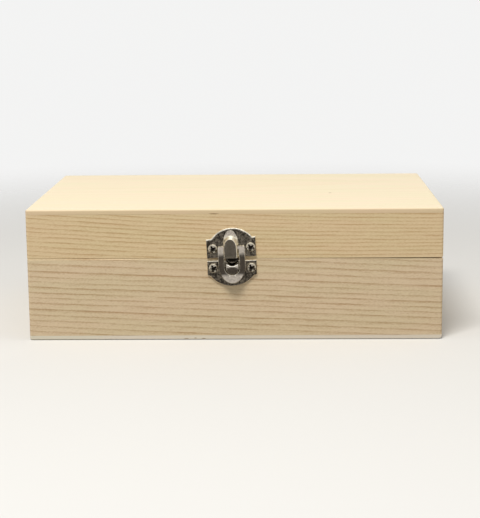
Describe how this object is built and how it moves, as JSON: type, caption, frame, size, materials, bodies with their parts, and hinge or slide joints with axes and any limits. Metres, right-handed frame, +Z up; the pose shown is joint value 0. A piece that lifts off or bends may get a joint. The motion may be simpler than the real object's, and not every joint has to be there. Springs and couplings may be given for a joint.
{
  "type": "hinged wooden box",
  "caption": "Flat rectangular box of pale sanded wood with a lid hinged at the back and a sprung metal box latch in the middle of its front.",
  "frame": {"origin": "centre of the underside, on the surface that the box stands on", "axes": "+X to the right along the front, +Y from the front with the latch towards the hinges, +Z up"},
  "size_m": [0.25, 0.1694, 0.08],
  "materials": {
    "pale_wood": "unfinished softwood, sanded",
    "panel_wood": "thin unfinished sheet wood, sanded",
    "nickel_plate": "nickel-plated pressed sheet, satin with bright edges",
    "nickel_screw": "nickel-plated, bright"
  },
  "bodies": {
    "base": {"base_front_board": "pale_wood", "base_back_board": "pale_wood", "base_left_board": "pale_wood", "base_right_board": "pale_wood", "bottom_panel": "panel_wood", "latch_base_plate": "nickel_plate", "left_hinge_base_leaf": "nickel_plate", "right_hinge_base_leaf": "nickel_plate", "latch_base_screw_left": "nickel_screw", "latch_base_screw_right": "nickel_screw", "left_hinge_base_screw_1": "nickel_screw", "left_hinge_base_screw_2": "nickel_screw", "right_hinge_base_screw_1": "nickel_screw", "right_hinge_base_screw_2": "nickel_screw", "left_hinge_pin": "nickel_screw", "right_hinge_pin": "nickel_screw"},
    "lid": {"lid_front_board": "pale_wood", "lid_back_board": "pale_wood", "lid_left_board": "pale_wood", "lid_right_board": "pale_wood", "top_panel": "panel_wood", "latch_lid_plate": "nickel_plate", "left_hinge_lid_leaf": "nickel_plate", "right_hinge_lid_leaf": "nickel_plate", "latch_lid_screw_left": "nickel_screw", "latch_lid_screw_right": "nickel_screw", "left_hinge_lid_screw_1": "nickel_screw", "left_hinge_lid_screw_2": "nickel_screw", "right_hinge_lid_screw_1": "nickel_screw", "right_hinge_lid_screw_2": "nickel_screw"},
    "flap": {"latch_flap": "nickel_plate"}
  },
  "joints": [
    {"name": "lid_hinge", "type": "hinge", "parent": "base", "child": "lid", "pos_m": [0, 0.08175, 0.05], "axis": [-1, 0, 0], "range_deg": [0, 170]},
    {"name": "flap_swing", "type": "hinge", "parent": "lid", "child": "flap", "pos_m": [-0.00172, -0.08243, 0.05659], "axis": [-0.9988, 0, -0.0489], "range_deg": [0, 160]}
  ]
}
